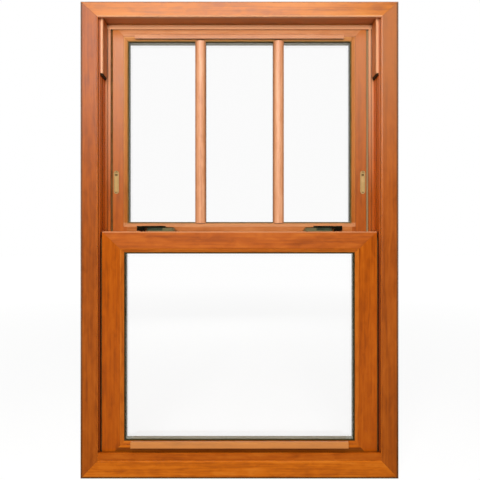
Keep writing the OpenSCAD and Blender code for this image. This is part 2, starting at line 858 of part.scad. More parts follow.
// Section of the pull rail: a shallow ledge whose lip hangs in front of the bead
module pull_section() {
  w1 = upper_top_w - pull_drop;
  w0 = w1 - pull_h;
  root_w = upper_top_w - bead_w - lift_root;
  polygon([
    [w0, lift_root], [w0 + pull_out, -pull_out], [w1, -pull_out], [w1, -pull_throat],
    [root_w, -pull_throat], [root_w, lift_root]]);
}

// Upper top rail, with the pull rail along its lower edge
module upper_top_rail() {
  color(wood) difference() {
    union() {
      mitred_bar("top", upper_box, upper_widths, upper_y) sash_section(upper_top_w);
      bar("top", [lift_len / 2, upper_z0, upper_z1], upper_y) pull_section();
    }
    both_sides() tilt_groove(upper_box, upper_y);
  }
}

// Pocket and plate recess of a keeper in the upper sash's bottom rail
module keeper_recess() {
  translate([-lock_x, upper_y, keeper_z]) {
    translate([-keeper_w / 2 - keeper_fit, -cut_over, -keeper_h / 2 - keeper_fit])
      cube([keeper_w + 2 * keeper_fit, keeper_t + cut_over, keeper_h + 2 * keeper_fit]);
    translate([-keeper_slot_w / 2, 0, -keeper_slot_h / 2])
      cube([keeper_slot_w, keeper_depth, keeper_slot_h]);
  }
}

// Upper bottom rail, which butts between the stiles
module upper_bottom_rail() {
  color(wood) difference() {
    bar("bottom", [upper_hw - upper_stile_w, upper_z0, upper_z1], upper_y) sash_section(upper_bottom_w);
    both_sides() {
      keeper_recess();
      pivot_mortise(upper_box, upper_y);
    }
  }
}

// Places its children at a vent latch, on the front of the left upper stile
module at_vent(side) {
  on_side(side) translate([-vent_x, upper_y, vent_z]) children();
}

// A long shape with round ends, standing upright and running back from the sash's face
module upright_slot(w, h, depth) {
  translate([0, depth, 0]) rotate([90, 0, 0]) linear_extrude(depth) {
    square([w, h - w], center = true);
    for (z = [-1, 1]) translate([0, z * (h - w) / 2]) circle(w / 2);
  }
}

// Upper stile: mitred above, square below where the bottom rail butts on it
module upper_stile(side) {
  foot_top = upper_z0 + upper_bottom_w - bead_w;
  color(wood) on_side(side) difference() {
    union() {
      mitred_bar("left", upper_box, [upper_stile_w, upper_top_w, 0], upper_y) sash_section(upper_stile_w);
      bar("left", [upper_hw, upper_z0, foot_top], upper_y)
        polygon([
          [edge_bevel, 0], [upper_stile_w, 0], [upper_stile_w, glass_u1], [edge_bevel, glass_u1]]);
    }
    tilt_groove(upper_box, upper_y);
    pivot_mortise(upper_box, upper_y);
    at_vent("left") translate([0, -cut_over, 0])
      upright_slot(vent_w + 2 * vent_fit, vent_h + 2 * vent_fit, vent_depth + vent_fit + cut_over);
  }
}

module upper_stile_left() { upper_stile("left"); }
module upper_stile_right() { upper_stile("right"); }

module upper_beads() { beads(upper_box, upper_widths, upper_y); }
module upper_inner_pane() { pane(upper_box, upper_widths, upper_y + glass_u0); }
module upper_outer_pane() { pane(upper_box, upper_widths, upper_y + glass_u1 - pane_t); }
module upper_spacer() { spacer(upper_box, upper_widths, upper_y); }
module upper_setting_blocks() { setting_blocks(upper_box, upper_widths, upper_y); }

// Section of a glazing bar: flat on the glass and rounded towards the eye
module glazing_bar_section() {
  round_r = (pow(bar_w / 2, 2) + pow(bar_round, 2)) / (2 * bar_round);
  intersection() {
    translate([0, round_r]) circle(round_r, $fn = 96);
    translate([-bar_w / 2, 0]) square([bar_w, bar_t]);
  }
}

// Upright bars that share the glass into equal panes
module glazing_bars() {
  light = daylight(upper_box, upper_widths);
  pitch = (2 * light[0] + bar_w) / (bar_count + 1);
  for (i = [1 : bar_count])
    translate([-light[0] - bar_w / 2 + i * pitch, 0, light[1]])
      linear_extrude(light[2] - light[1]) glazing_bar_section();
}

module glazing_bars_inside() {
  color(wood) translate([0, upper_y + glass_u0 - bar_t, 0]) glazing_bars();
}

module glazing_bars_outside() {
  color(wood) translate([0, upper_y + glass_u1 + bar_t, 0]) mirror([0, 1, 0]) glazing_bars();
}

// Pile strip on the upper sash that closes the gap between the meeting rails
module meeting_seal() {
  seal_t = sash_gap - pile_clear;
  seal_hw = upper_hw - upper_stile_w;
  color(seal_grey) translate([-seal_hw, upper_y - seal_t, upper_z0 + meeting_seal_set])
    cube([2 * seal_hw, seal_t, meeting_seal_h]);
}

// Slotted plates, flush in the upper sash's bottom rail, that the cams turn into
module keepers() {
  color(bronze) both_sides() translate([-lock_x, upper_y, keeper_z]) difference() {
    translate([-keeper_w / 2, 0, -keeper_h / 2]) cube([keeper_w, keeper_t, keeper_h]);
    translate([-keeper_slot_w / 2, -cut_over, -keeper_slot_h / 2])
      cube([keeper_slot_w, keeper_t + 2 * cut_over, keeper_slot_h]);
  }
}

// Height of the vent latch's pin above the middle of its housing
vent_pin_z = vent_h / 2 - vent_pin_drop;

// A round rod across the vent latch, on its pin's axis
module vent_pin(len, r) {
  translate([-len / 2, vent_pin_u, vent_pin_z]) rotate([0, 90, 0]) cylinder(h = len, r = r);
}

// Housing of a vent latch: an upright cup, let in flush with the stile's face
module vent_housing(side) {
  color(tan) at_vent(side) difference() {
    upright_slot(vent_w, vent_h, vent_depth);
    translate([0, -cut_over, 0])
      upright_slot(vent_w - 2 * vent_wall, vent_h - 2 * vent_wall, vent_depth - vent_wall + cut_over);
    vent_pin(vent_w + 2 * cut_over, vent_pin_r + vent_pin_fit);
  }
}

module vent_housing_left() { vent_housing("left"); }
module vent_housing_right() { vent_housing("right"); }

// Tongue of a vent latch: fills its housing, hung on its pin, with a dimple to show where it turns
module vent_latch(side) {
  tongue_w = vent_w - 2 * vent_wall - 2 * vent_run;
  tongue_h = vent_h - 2 * vent_wall - 2 * tongue_end_gap;
  top_z = tongue_h / 2;
  color(tan) at_vent(side) difference() {
    union() {
      intersection() {
        upright_slot(tongue_w, tongue_h, tongue_deep);
        translate([-vent_w / 2, 0, 0]) rotate([90, 0, 90]) linear_extrude(vent_w)
          polygon([
            [tongue_set, tongue_bevel - top_z], [tongue_set + tongue_bevel, -top_z], [tongue_deep, -top_z],
            [tongue_deep, top_z], [tongue_set + tongue_bevel, top_z], [tongue_set, top_z - tongue_bevel]]);
      }
      vent_pin(vent_w - 2 * vent_pin_end, vent_pin_r);
    }
    translate([0, tongue_set + dot_d, vent_pin_z]) rotate([90, 0, 0]) cylinder(h = vent_w, r = dot_r);
  }
}

module vent_latch_left() { vent_latch("left"); }
module vent_latch_right() { vent_latch("right"); }

module upper_pivot_bars() { pivot_bars(upper_box, upper_y, upper_side_gap); }
module upper_shoes() { shoes(upper_box, upper_y, upper_pocket_w); }
module upper_spiral_rods() { spiral_rods(upper_y, upper_pocket_w, upper_shoe_top, upper_rod_top); }

frame_head();
frame_sill();
frame_jamb_left();
frame_jamb_right();
sill_dam();
track_cover_left();
track_cover_right();
stop_pads();
upper_side_piles();
lower_balance_tube_left();
lower_balance_tube_right();
upper_balance_tube_left();
upper_balance_tube_right();
balance_screws();
lower_top_rail();
lower_bottom_rail();
lower_stile_left();
lower_stile_right();
lower_beads();
lower_inner_pane();
lower_outer_pane();
lower_spacer();
lower_setting_blocks();
lower_side_piles();
sill_seal();
lower_pivot_bars();
lower_shoes();
lower_spiral_rods();
lock_case_left();
lock_case_right();
lock_screws();
lock_lever_left();
lock_lever_right();
lock_cam_left();
lock_cam_right();
lower_tilt_latch_left();
lower_tilt_latch_right();
upper_top_rail();
upper_bottom_rail();
upper_stile_left();
upper_stile_right();
upper_beads();
upper_inner_pane();
upper_outer_pane();
upper_spacer();
upper_setting_blocks();
glazing_bars_inside();
glazing_bars_outside();
meeting_seal();
keepers();
vent_housing_left();
vent_housing_right();
vent_latch_left();
vent_latch_right();
upper_tilt_latch_left();
upper_tilt_latch_right();
upper_pivot_bars();
upper_shoes();
upper_spiral_rods();
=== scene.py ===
# %% [markdown]
# # A double-hung sash window in stained cherry
#
# The window comes out of the CAD model with every piece already in its place and at its real size:
# the mitred frame, two sashes with double glazing, cam locks, vent latches, tilt latches and spiral
# balances. What is left for Blender is how it looks. So this lesson is mostly about finishes:
# lacquered wood with its grain running along each board, clear glass, dark bronze hardware, moulded
# plastic, rubber and wool pile.

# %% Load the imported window
import math

import bmesh
import bpy
from mathutils import Matrix, Vector


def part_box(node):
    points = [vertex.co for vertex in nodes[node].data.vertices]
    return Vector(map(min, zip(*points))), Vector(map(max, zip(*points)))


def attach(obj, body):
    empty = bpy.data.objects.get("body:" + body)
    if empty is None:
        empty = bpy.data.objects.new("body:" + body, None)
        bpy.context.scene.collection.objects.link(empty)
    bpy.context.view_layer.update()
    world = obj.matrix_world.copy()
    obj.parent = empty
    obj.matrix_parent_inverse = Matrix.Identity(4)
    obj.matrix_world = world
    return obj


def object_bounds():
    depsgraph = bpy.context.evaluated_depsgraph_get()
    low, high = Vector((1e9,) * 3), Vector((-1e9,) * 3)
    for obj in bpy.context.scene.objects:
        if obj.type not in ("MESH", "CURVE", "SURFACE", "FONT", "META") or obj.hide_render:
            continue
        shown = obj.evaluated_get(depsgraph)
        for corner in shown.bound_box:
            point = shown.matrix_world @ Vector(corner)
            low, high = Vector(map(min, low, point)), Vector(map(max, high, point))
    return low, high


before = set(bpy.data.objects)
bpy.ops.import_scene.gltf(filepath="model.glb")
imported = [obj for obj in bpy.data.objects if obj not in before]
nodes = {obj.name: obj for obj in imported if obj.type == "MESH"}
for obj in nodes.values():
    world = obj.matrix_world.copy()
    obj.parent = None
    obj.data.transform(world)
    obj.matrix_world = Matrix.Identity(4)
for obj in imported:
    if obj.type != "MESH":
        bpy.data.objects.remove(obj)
cad_low, cad_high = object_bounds()
print(len(nodes), "pieces, box", [round(v, 4) for v in (*cad_low, *cad_high)])

# %% [markdown]
# ## The camera
#
# The photograph was taken square on, from close by: the walls of the tracks and the top of the
# lower sash can be seen, which fixes the distance. A camera is best worked out from such facts and
# not dragged into place, so the distance and the width of the view at the frame's face are named,
# and the lens follows.

# %% Set up the camera
CAMERA_DISTANCE = 0.929  # metres in front of the frame's face
VIEW_WIDTH = 0.91694  # metres across at that face
CAMERA_HEIGHT = 0.4574
CAMERA_SIDE = 0.00096
SENSOR = 36.0  # millimetres

face_y = cad_low.y
camera_data = bpy.data.cameras.new("camera")
camera_data.sensor_width = SENSOR
camera_data.lens = SENSOR * CAMERA_DISTANCE / VIEW_WIDTH
camera = bpy.data.objects.new("camera", camera_data)
camera.location = (CAMERA_SIDE, face_y - CAMERA_DISTANCE, CAMERA_HEIGHT)
camera.rotation_euler = (math.radians(90), 0, 0)
bpy.context.collection.objects.link(camera)
bpy.context.scene.camera = camera
bpy.context.scene.view_settings.view_transform = "Standard"
print("lens", round(camera_data.lens, 2), "mm")

# %% [markdown]
# ## One way to add a shader node
#
# Every finish below is a small tree of nodes. The same three things happen each time a node is
# added: its options are chosen, numbers are typed in its sockets, and other nodes are plugged in.
# One function does that for any node. Colours are written as the hex values an artist would pick on
# screen, and a second function turns them into the linear light that the renderer works with.

# %% Helpers for node trees
def put(tree, kind, links=None, inputs=None, **settings):
    node = tree.nodes.new(kind)
    for name, value in settings.items():
        setattr(node, name, value)
    for name, value in (inputs or {}).items():
        node.inputs[name].default_value = value
    for name, socket in (links or {}).items():
        tree.links.new(socket, node.inputs[name])
    return node


def linear(hex_colour):
    channels = [int(hex_colour[i : i + 2], 16) / 255 for i in (1, 3, 5)]
    return (*[c / 12.92 if c <= 0.04045 else ((c + 0.055) / 1.055) ** 2.4 for c in channels], 1.0)


def blank_material(name):
    material = bpy.data.materials.new(name)
    material.use_nodes = True
    material.node_tree.nodes.clear()
    return material, material.node_tree


print("mid grey is", [round(c, 3) for c in linear("#808080")])

# %% [markdown]
# ## Wear, painted light and painted shade
#
# An old window is not one colour, and three recipes change a colour that is already there. The
# first tints it past a line on one of the axes, for places that hands have worn and for painted
# light and shade, such as a painted shadow under a ledge or a painted highlight on an edge; with a
# second range, each range caps the next, so the tint stays in a corner or a band. The second pales
# the edges, partly as rubbed wear and partly as a painted highlight: the Bevel node gives the
# direction that a rounded edge would face, and where that turns away from the flat surface, the
# edge is paler. The third is painted shade in narrow grooves and corners, where shade falls:
# Ambient Occlusion finds them, whatever the camera does. Painted masks could do all this, but would
# need a picture for every piece.

# %% Patches, rubbed and highlit edges, and painted shade in grooves
GROOVE_SHADE_STARTS, GROOVE_SHADE_FULL = 0.55, 0.18  # share of the surroundings that a groove still sees
GROOVE_SHADE_STRENGTH = 0.85


def patched(tree, place, colour, patches):
    axes = put(tree, "ShaderNodeSeparateXYZ", {0: place})
    for tone, strength, *ranges in patches:
        cap = {}
        for axis, start, end in ranges:
            mask = put(tree, "ShaderNodeMapRange", {"Value": axes.outputs[axis], **cap},
                       {"From Min": start, "From Max": end, "To Min": 0.0, "To Max": strength})
            cap = {"To Max": mask.outputs[0]}
        colour = put(tree, "ShaderNodeMix", {0: mask.outputs[0], 6: colour}, {7: linear(tone)},
                     data_type="RGBA").outputs[2]
    return colour


# Edges are paled partly as rubbed wear and partly as a painted highlight, where a rounded edge
# would catch the light.
def rubbed_and_highlit_edges(tree, colour, tone, radius, flat_until, full_at, strength):
    rounded = put(tree, "ShaderNodeBevel", inputs={"Radius": radius}, samples=6)
    flat = put(tree, "ShaderNodeNewGeometry")
    bend = put(tree, "ShaderNodeVectorMath", {0: rounded.outputs[0], 1: flat.outputs["Normal"]},
               operation="DOT_PRODUCT")
    edge = put(tree, "ShaderNodeMapRange", {"Value": bend.outputs["Value"]},
               {"From Min": flat_until, "From Max": full_at, "To Min": 0.0, "To Max": strength})
    rubbed_and_highlit = put(tree, "ShaderNodeMix", {0: edge.outputs[0], 6: colour}, {7: linear(tone)},
                 data_type="RGBA")
    return rounded.outputs[0], rubbed_and_highlit.outputs[2]


# Painted shade: grooves and corners that Ambient Occlusion finds are darkened, as if shade fell
# there.
def shaded_grooves(tree, colour, depth, tone):
    corner = put(tree, "ShaderNodeAmbientOcclusion", inputs={"Distance": depth}, samples=8)
    painted_groove_shade = put(tree, "ShaderNodeMapRange", {"Value": corner.outputs["AO"]},
               {"From Min": GROOVE_SHADE_STARTS, "From Max": GROOVE_SHADE_FULL,
                "To Min": 0.0, "To Max": GROOVE_SHADE_STRENGTH})
    return put(tree, "ShaderNodeMix", {0: painted_groove_shade.outputs[0], 6: colour}, {7: linear(tone)},
               data_type="RGBA").outputs[2]


print("dust covers at most", GROOVE_SHADE_STRENGTH, "of a groove's colour")

# %% [markdown]
# ## Light, sky and floor
#
# The background is white to the camera, to mirrors and through glass, by the Light Path node, but
# gives the object only a soft even light. Mirrors see that white behind the window, and a dim room
# on the camera's side. The floor sorts its rays in the same way, so one function serves both.

# %% Sky
SKY_LIGHT = 0.12
ROOM_GLOW = 0.02
ROOM_ENDS, WHITE_STARTS = -0.15, 0.25  # how far a mirrored ray points to the outside


def shown_white(tree, ray, behind):
    mirrored = put(tree, "ShaderNodeMath", {0: behind, 1: ray.outputs["Is Glossy Ray"]},
                   operation="MULTIPLY")
    direct = put(tree, "ShaderNodeMath",
                 {0: ray.outputs["Is Camera Ray"], 1: ray.outputs["Is Transmission Ray"]},
                 operation="MAXIMUM")
    seen = put(tree, "ShaderNodeMath", {0: direct.outputs[0], 1: mirrored.outputs[0]},
               operation="MAXIMUM")
    return seen.outputs[0]


world = bpy.data.worlds.new("studio")
world.use_nodes = True
bpy.context.scene.world = world
sky = world.node_tree
sky.nodes.clear()
ray = put(sky, "ShaderNodeLightPath")
direction = put(sky, "ShaderNodeTexCoord")
axes = put(sky, "ShaderNodeSeparateXYZ", {0: direction.outputs["Generated"]})
behind = put(sky, "ShaderNodeMapRange", {"Value": axes.outputs["Y"]},
             {"From Min": ROOM_ENDS, "From Max": WHITE_STARTS, "To Min": ROOM_GLOW, "To Max": 1.0})
seen = shown_white(sky, ray, behind.outputs[0])
diffuse = put(sky, "ShaderNodeMath", {0: ray.outputs["Is Diffuse Ray"]}, {1: SKY_LIGHT},
              operation="MULTIPLY")
strength = put(sky, "ShaderNodeMath", {0: seen, 1: diffuse.outputs[0]}, operation="MAXIMUM")
backdrop = put(sky, "ShaderNodeBackground", {"Strength": strength.outputs[0]},
               {"Color": linear("#FFFFFF")})
put(sky, "ShaderNodeOutputWorld", {"Surface": backdrop.outputs[0]})
print("sky light", SKY_LIGHT)


# %% [markdown]
# A window catalogue lights its goods with a broad soft light from the front, a little above the
# window, so the head is brighter than the sill. A weaker lamp behind and one at each side keep the
# other faces from going black. A white card above the camera is mirrored in the lacquer of the
# upper half, which is why the wood looks paler there. Mirrors don't see the lamps, and the card
# shows in the lacquer of those boards alone, so each can be set by itself.

# %% Lamps
def softbox(name, place, target, width, height, watts):
    data = bpy.data.lights.new(name, "AREA")
    data.shape = "RECTANGLE"
    data.size = width
    data.size_y = height
    data.energy = watts
    lamp = bpy.data.objects.new(name, data)
    lamp.location = place
    lamp.rotation_euler = (Vector(target) - Vector(place)).to_track_quat("-Z", "Y").to_euler()
    lamp.visible_camera = False
    lamp.visible_transmission = False
    bpy.context.collection.objects.link(lamp)
    return lamp


front = softbox("front_softbox", place=(-0.15, -1.85, 0.92), target=(0, 0, 0.5),
                width=1.2, height=0.7, watts=40)
rear = softbox("rear_softbox", place=(0.6, 2.4, 1.5), target=(0, 0, 0.45),
               width=1.8, height=1.2, watts=26)
fills = [softbox(name, place=(side * 2.0, 0.45, 0.75), target=(side * 0.3, 0.0, 0.45),
                 width=0.8, height=1.2, watts=12)
         for name, side in (("left_softbox", -1), ("right_softbox", 1))]
card = softbox("gloss_card", place=(-0.15, -1.5, 1.46), target=(0, 0, 0.75),
               width=1.35, height=0.85, watts=22)
for lamp in (front, rear, *fills):
    lamp.visible_glossy = False
card.visible_diffuse = False
print("lamps", [lamp.name for lamp in (front, rear, *fills, card)])

# %% [markdown]
# The floor is a plain pale sheet. To the camera it glows a little, so that it meets the white
# background without a line, while the part of its light that comes from the front lamp still drops
# in the window's shadow. The rear and side lamps are unlinked from it, because their pools of light
# would show through the panes.

# %% Floor
FLOOR_HALF = 12.0
NEAR_GLOW, FAR_GLOW = 0.9, 1.0
NEAR_REACH, FAR_REACH = 0.8, 4.0  # metres from the window
MIRRORED_FROM = 0.5  # metres behind the window

floor_shape = bmesh.new()
bmesh.ops.create_grid(floor_shape, x_segments=4, y_segments=4, size=FLOOR_HALF)
floor_mesh = bpy.data.meshes.new("floor")
floor_shape.to_mesh(floor_mesh)
floor_shape.free()
floor = bpy.data.objects.new("floor", floor_mesh)
bpy.context.collection.objects.link(floor)
# Painted board: matt all over, so that nothing but the shadow shows on it.
floor_finish, tree = blank_material("pale floor")
ray = put(tree, "ShaderNodeLightPath")
place = put(tree, "ShaderNodeTexCoord").outputs["Object"]
axes = put(tree, "ShaderNodeSeparateXYZ", {0: place})
behind = put(tree, "ShaderNodeMapRange", {"Value": axes.outputs["Y"]},
             {"From Min": 0.0, "From Max": MIRRORED_FROM})
seen = shown_white(tree, ray, behind.outputs[0])
away = put(tree, "ShaderNodeVectorMath", {0: place}, operation="LENGTH")
level = put(tree, "ShaderNodeMapRange", {"Value": away.outputs["Value"]},
            {"From Min": NEAR_REACH, "From Max": FAR_REACH,
             "To Min": NEAR_GLOW, "To Max": FAR_GLOW})
glow = put(tree, "ShaderNodeMath", {0: seen, 1: level.outputs[0]}, operation="MULTIPLY")
matt = put(tree, "ShaderNodeBsdfDiffuse", inputs={"Color": linear("#828280")})
light = put(tree, "ShaderNodeEmission", {"Strength": glow.outputs[0]})
both = put(tree, "ShaderNodeAddShader", {0: matt.outputs[0], 1: light.outputs[0]})
put(tree, "ShaderNodeOutputMaterial", {"Surface": both.outputs[0]})
floor_mesh.materials.append(floor_finish)
print("floor", 2 * FLOOR_HALF, "m across")

# %% Keep the rear and side lamps off the floor
not_the_floor = bpy.data.collections.new("not the floor")
not_the_floor.objects.link(floor)
not_the_floor.collection_objects[0].light_linking.link_state = "EXCLUDE"
for lamp in (rear, *fills):
    lamp.light_linking.receiver_collection = not_the_floor
print("lamps off the floor", [lamp.name for lamp in (rear, *fills)])

# %% [markdown]
# ## Stained and lacquered cherry
#
# Cherry is a fine, even wood. Up close it has long flame-shaped growth figure, thin streaks, short
# pores and cloudy blotches where the stain took unevenly. All four run along the board, so a noise
# that is stretched along the grain makes each of them, at its own length and width in millimetres.
# A picture of a plank would repeat on every member; noise read in the object's own metres doesn't,
# and a seed per board makes the mitres meet in different wood, as they do in a real frame.

# %% Layers of the grain
MM_IN_METRE = 1000
GRAIN_AXIS = {"x": 0, "z": 2}
GRAIN_ROUGHNESS = 0.55
SEED_STEP = (3.7, 1.9, 5.3)
FIGURE = {"length_mm": 260, "width_mm": 17, "detail": 2.0, "distortion": 0.5}
STREAKS = {"length_mm": 110, "width_mm": 3.2, "detail": 5.0, "distortion": 0.3}
BLOTCHES = {"length_mm": 30, "width_mm": 11, "detail": 3.0, "distortion": 0.6}
# Real pores are about a tenth as wide. They are this coarse so that they show at this distance.
PORES = {"length_mm": 9, "width_mm": 0.9, "detail": 2.0, "distortion": 0.0}


def along_grain(tree, place, grain, seed, length_mm, width_mm, detail, distortion):
    scale = [MM_IN_METRE / width_mm] * 3
    scale[GRAIN_AXIS[grain]] = MM_IN_METRE / length_mm
    offset = [seed * step for step in SEED_STEP]
    stretch = put(tree, "ShaderNodeMapping", {"Vector": place},
                  {"Scale": scale, "Location": offset})
    layer = put(tree, "ShaderNodeTexNoise", {"Vector": stretch.outputs[0]},
                {"Scale": 1.0, "Detail": detail, "Roughness": GRAIN_ROUGHNESS,
                 "Distortion": distortion})
    return layer.outputs["Fac"]


print("figure", FIGURE["length_mm"], "by", FIGURE["width_mm"], "mm")

# %% [markdown]
# The beads are one ring of four mitred bars in one piece. Its corners could be cut apart, but the
# CAD model keeps them together, so the grain's direction is swapped past each mitre in the shader:
# where a point lies closer to the ring's side than to its top or foot, X and Z change places.

# %% Grain that turns at the mitres
def turned_at_mitres(tree, place, low, high):
    middle = (low + high) / 2
    half = (high - low) / 2
    axes = put(tree, "ShaderNodeSeparateXYZ", {0: place})
    inset = []
    for axis in GRAIN_AXIS.values():
        shifted = put(tree, "ShaderNodeMath", {0: axes.outputs[axis]}, {1: middle[axis]},
                      operation="SUBTRACT")
        away = put(tree, "ShaderNodeMath", {0: shifted.outputs[0]}, operation="ABSOLUTE")
        inset.append(put(tree, "ShaderNodeMath", {0: away.outputs[0]}, {1: half[axis]},
                         operation="SUBTRACT"))
    upright = put(tree, "ShaderNodeMath", {0: inset[0].outputs[0], 1: inset[1].outputs[0]},
                  operation="GREATER_THAN")
    turned = put(tree, "ShaderNodeCombineXYZ",
                 {"X": axes.outputs["Z"], "Y": axes.outputs["Y"], "Z": axes.outputs["X"]})
    grain_place = put(tree, "ShaderNodeMix",
                      {0: upright.outputs[0], 4: place, 5: turned.outputs[0]},
                      data_type="VECTOR")
    return grain_place.outputs[1]


print("grain runs along", " or ".join(GRAIN_AXIS))

# %% [markdown]
# The layers become one value from dark to pale wood, and a ramp gives that value the three tones of
# the stain. The figure is folded back and forth into growth bands first, as a saw cuts through many
# rings. Pores are the highest peaks of their noise, filled with the dark tone.

# %% Colour of the wood
FIGURE_BANDS = 5.0
STREAK_SHARE = 0.7
BLOTCH_SHARE = 0.42
DARK_AT, MID_AT, PALE_AT = 0.28, 0.5, 0.74
PORE_STARTS, PORE_FULL = 0.62, 0.74
PORE_STRENGTH = 0.35


def wood_colour(tree, figure, streaks, blotches, pores, tones):
    bands = put(tree, "ShaderNodeMath", {0: figure}, {1: FIGURE_BANDS}, operation="MULTIPLY")
    rings = put(tree, "ShaderNodeMath", {0: bands.outputs[0]}, {1: 1.0}, operation="PINGPONG")
    grain_mix = put(tree, "ShaderNodeMix", {2: rings.outputs[0], 3: streaks}, {0: STREAK_SHARE})
    board = put(tree, "ShaderNodeMix", {2: grain_mix.outputs[0], 3: blotches}, {0: BLOTCH_SHARE})
    ramp = put(tree, "ShaderNodeValToRGB", {"Fac": board.outputs[0]})
    dark, mid, pale = tones
    ramp.color_ramp.elements[0].position = DARK_AT
    ramp.color_ramp.elements[0].color = linear(dark)
    ramp.color_ramp.elements[1].position = PALE_AT
    ramp.color_ramp.elements[1].color = linear(pale)
    ramp.color_ramp.elements.new(MID_AT).color = linear(mid)
    pore_mask = put(tree, "ShaderNodeMapRange", {"Value": pores},
                    {"From Min": PORE_STARTS, "From Max": PORE_FULL,
                     "To Min": 0.0, "To Max": PORE_STRENGTH})
    with_pores = put(tree, "ShaderNodeMix", {0: pore_mask.outputs[0], 6: ramp.outputs[0]},
                     {7: linear(dark)}, data_type="RGBA")
    return with_pores.outputs[2]


print("figure folded into", FIGURE_BANDS, "bands")

# %% [markdown]
# The finish puts the wear, the painted highlights and the painted shade on that colour, and the
# lacquer over it. Lacquer is a thin clear coat that fills most of the pores, so they are left as a
# shallow bump. Where the stain took unevenly, the lacquer sank in unevenly too, so the blotches
# also steer the roughness.

# %% The cherry finish
NOISE_LOW, NOISE_HIGH = 0.3, 0.7  # most of a noise's values lie between these
SATIN = (0.40, 0.54)
EDGE_ROUND = 0.0012
# How far the wood's edges are paled: partly rubbed wear, partly a painted highlight.
EDGE_WEAR_AND_HIGHLIGHT = {"flat_until": 0.99, "full_at": 0.8, "strength": 0.45}
PORE_DEPTH = 0.00012
PORE_SHARE = 0.6
# Painted shade in the wood: how deep a groove is darkened, and the dark tone. The same tone draws
# the painted shadow under the lift and the dark line in the tracks' shoulders.
GROOVE_SHADE_DEPTH = 0.012
PAINTED_SHADE_TONE = "#4A1A02"


def cherry(name, grain, tones, seed, ring=None, patches=()):
    # Stained cherry, planed and lacquered: warm figure under a satin sheen, edges paler, partly
    # rubbed and partly a painted highlight.
    material, tree = blank_material(name)
    place = put(tree, "ShaderNodeTexCoord").outputs["Object"]
    grain_place = turned_at_mitres(tree, place, *ring) if ring else place
    figure, streaks, blotches, pores = [along_grain(tree, grain_place, grain, seed, **layer)
                                        for layer in (FIGURE, STREAKS, BLOTCHES, PORES)]
    colour = wood_colour(tree, figure, streaks, blotches, pores, tones)
    rounded, rubbed_and_highlit = rubbed_and_highlit_edges(tree, colour, tones[2], EDGE_ROUND, **EDGE_WEAR_AND_HIGHLIGHT)
    tinted = patched(tree, place, rubbed_and_highlit, patches)
    finished = shaded_grooves(tree, tinted, GROOVE_SHADE_DEPTH, PAINTED_SHADE_TONE)
    height = put(tree, "ShaderNodeMix", {2: streaks, 3: pores}, {0: PORE_SHARE})
    relief = put(tree, "ShaderNodeBump", {"Height": height.outputs[0], "Normal": rounded},
                 {"Strength": 0.25, "Distance": PORE_DEPTH})
    sheen = put(tree, "ShaderNodeMapRange", {"Value": blotches},
                {"From Min": NOISE_LOW, "From Max": NOISE_HIGH,
                 "To Min": SATIN[0], "To Max": SATIN[1]})
    shader = put(tree, "ShaderNodeBsdfPrincipled",
                 {"Base Color": finished, "Roughness": sheen.outputs[0],
                  "Normal": relief.outputs[0]},
                 {"IOR": 1.5, "Specular IOR Level": 0.35,
                  "Coat Weight": 0.4, "Coat Roughness": 0.3})
    put(tree, "ShaderNodeOutputMaterial", {"Surface": shader.outputs[0]})
    return material


print("satin roughness", SATIN[0], "to", SATIN[1])

# %% [markdown]
# The level boards of the frame and of the sashes took the stain a little lighter than the uprights,
# so each group of boards has its own three tones, dark to pale. The bars in front of the glass are
# given the palest tones, a painted sheen for the light that their rounded faces catch. One stain
# for all would be less to write, but the members of the frame could hardly be told apart.

# %% Grain and tones of every board
HEAD_TONES = ("#A45210", "#D07414", "#E28A2A")
LEVEL_TONES = ("#A44C06", "#D26C0C", "#E48222")
RAIL_TONES = ("#944204", "#B85808", "#CE6E18")
STILE_TONES = ("#8E3E04", "#B45406", "#C86610")
JAMB_TONES = ("#863C04", "#A85005", "#BC6010")
COVER_TONES = ("#A24E10", "#C46A20", "#D48038")
UPPER_TONES = ("#985010", "#B86828", "#CA7E40")
UPPER_BEAD_TONES = ("#9C541C", "#BC6C28", "#CE823A")
LOWER_BEAD_TONES = ("#A04A0C", "#C46414", "#D67A26")
PULL_TONES = ("#AA6638", "#C6804E", "#D69666")
# The bars' tones are paler as a painted sheen, for the light on their rounded faces.
SHEEN_BAR_TONES = ("#BE7A4C", "#DA966A", "#E8AC82")

BOARDS = {
    "frame_head": ("x", HEAD_TONES),
    "frame_sill": ("x", LEVEL_TONES),
    "sill_dam": ("x", RAIL_TONES),
    "frame_jamb_left": ("z", JAMB_TONES),
    "frame_jamb_right": ("z", JAMB_TONES),
    "track_cover_left": ("z", COVER_TONES),
    "track_cover_right": ("z", COVER_TONES),
    "lower_top_rail": ("x", RAIL_TONES),
    "lower_bottom_rail": ("x", LEVEL_TONES),
    "lower_stile_left": ("z", STILE_TONES),
    "lower_stile_right": ("z", STILE_TONES),
    "lower_beads": ("x", LOWER_BEAD_TONES),
    "upper_top_rail": ("x", PULL_TONES),
    "upper_bottom_rail": ("x", UPPER_TONES),
    "upper_stile_left": ("z", JAMB_TONES),
    "upper_stile_right": ("z", JAMB_TONES),
    "upper_beads": ("x", UPPER_BEAD_TONES),
    "glazing_bars_inside": ("z", SHEEN_BAR_TONES),
    "glazing_bars_outside": ("z", SHEEN_BAR_TONES),
}
print(len(BOARDS), "boards,", sum(grain == "x" for grain, _ in BOARDS.values()), "of them level")

# %% [markdown]
# Use has left its marks, and light and shade are painted in too. The lift on the lower sash, which
# hands pull, stands out in front of the stiles and is worn pale, with a line of painted shadow
# under it, and the top front edge of that sash gets a painted highlight. The upper sash gets
# painted top light, paler towards the head, all but its foot, which the lower sash shades. The bars
# get painted shade on their flanks. The head gets painted highlights in its recess, and the frame's
# outer edges
# get painted shade. Each mark is a patch: a tone, a strength, and the ranges in which it lies. Most
# ranges start from the boxes of the pieces, so that the marks follow when a size changes.

